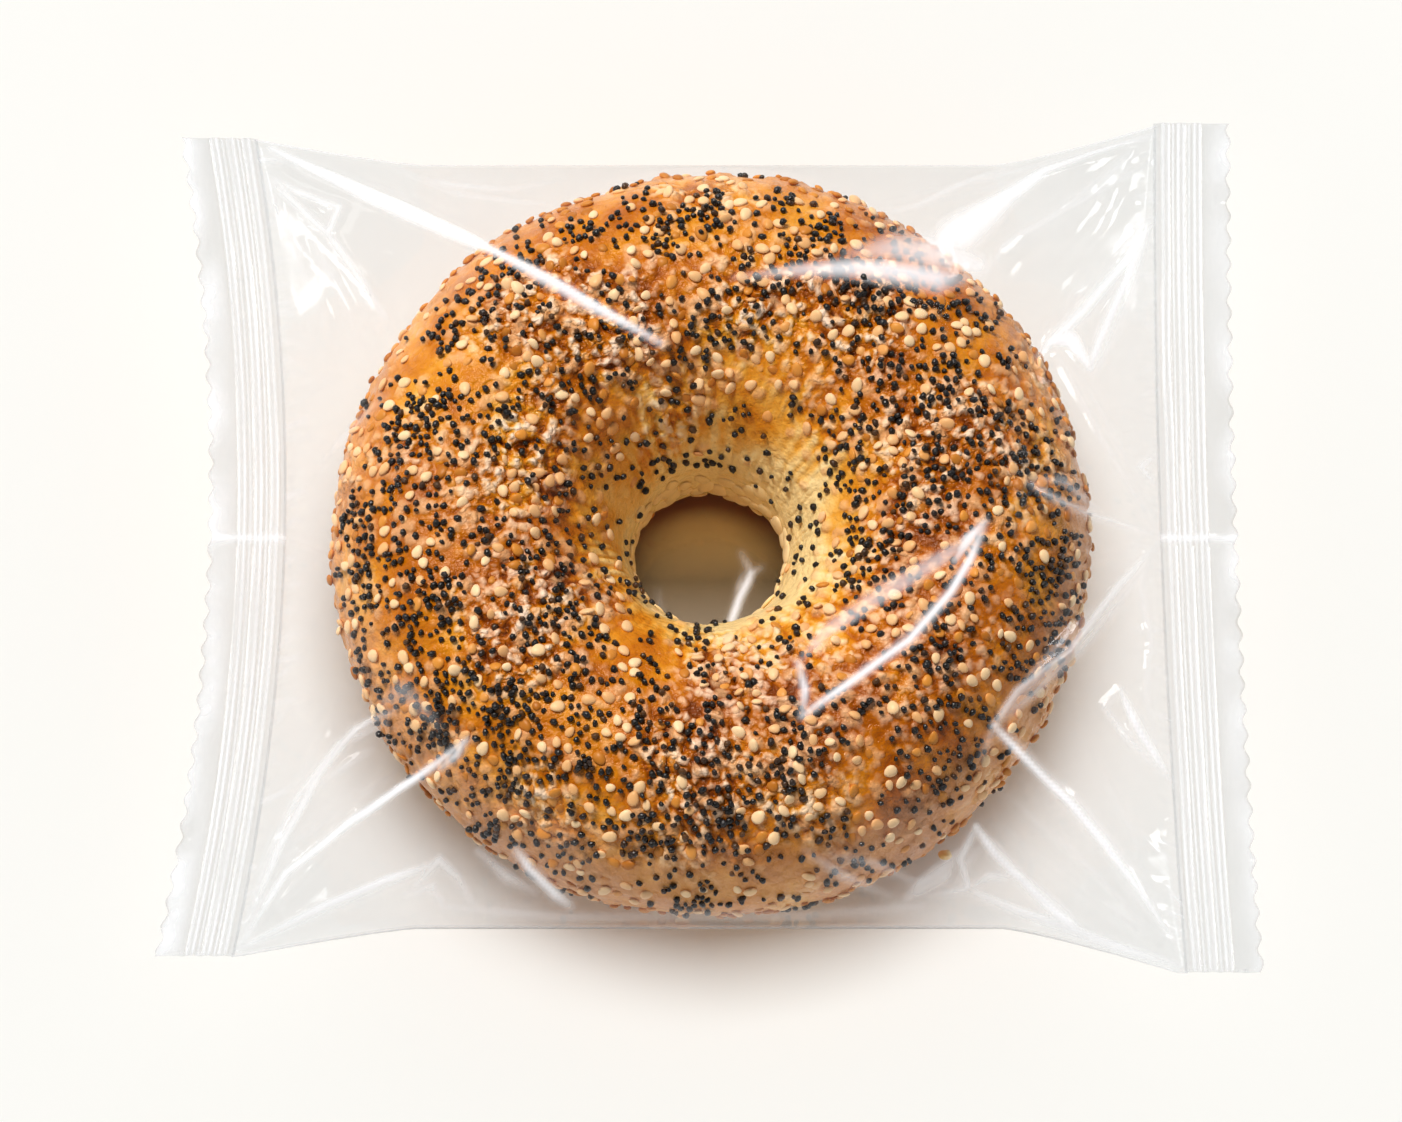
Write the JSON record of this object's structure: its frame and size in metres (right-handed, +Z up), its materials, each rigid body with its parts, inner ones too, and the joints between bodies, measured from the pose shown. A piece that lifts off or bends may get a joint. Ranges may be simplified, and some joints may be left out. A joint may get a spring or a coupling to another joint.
{
  "type": "wrapped bagel",
  "caption": "Round seeded bagel in a clear sealed pillow bag with crimped end seals, lying flat.",
  "frame": {"origin": "on the surface that the bag lies on, under the middle of its box", "axes": "+X along the bag from one end seal to the other, +Y across the bag, +Z up through the bagel's hole"},
  "size_m": [0.1594, 0.13, 0.0386],
  "materials": {
    "crust": "baked bread crust, egg-washed, half gloss",
    "film": "clear polypropylene film, glossy, creased",
    "poppy": "poppy seed, blue-black, pitted",
    "sesame": "toasted sesame seed, smooth"
  },
  "bodies": {
    "root": {"wrapped_bagel": "crust"}
  },
  "joints": []
}
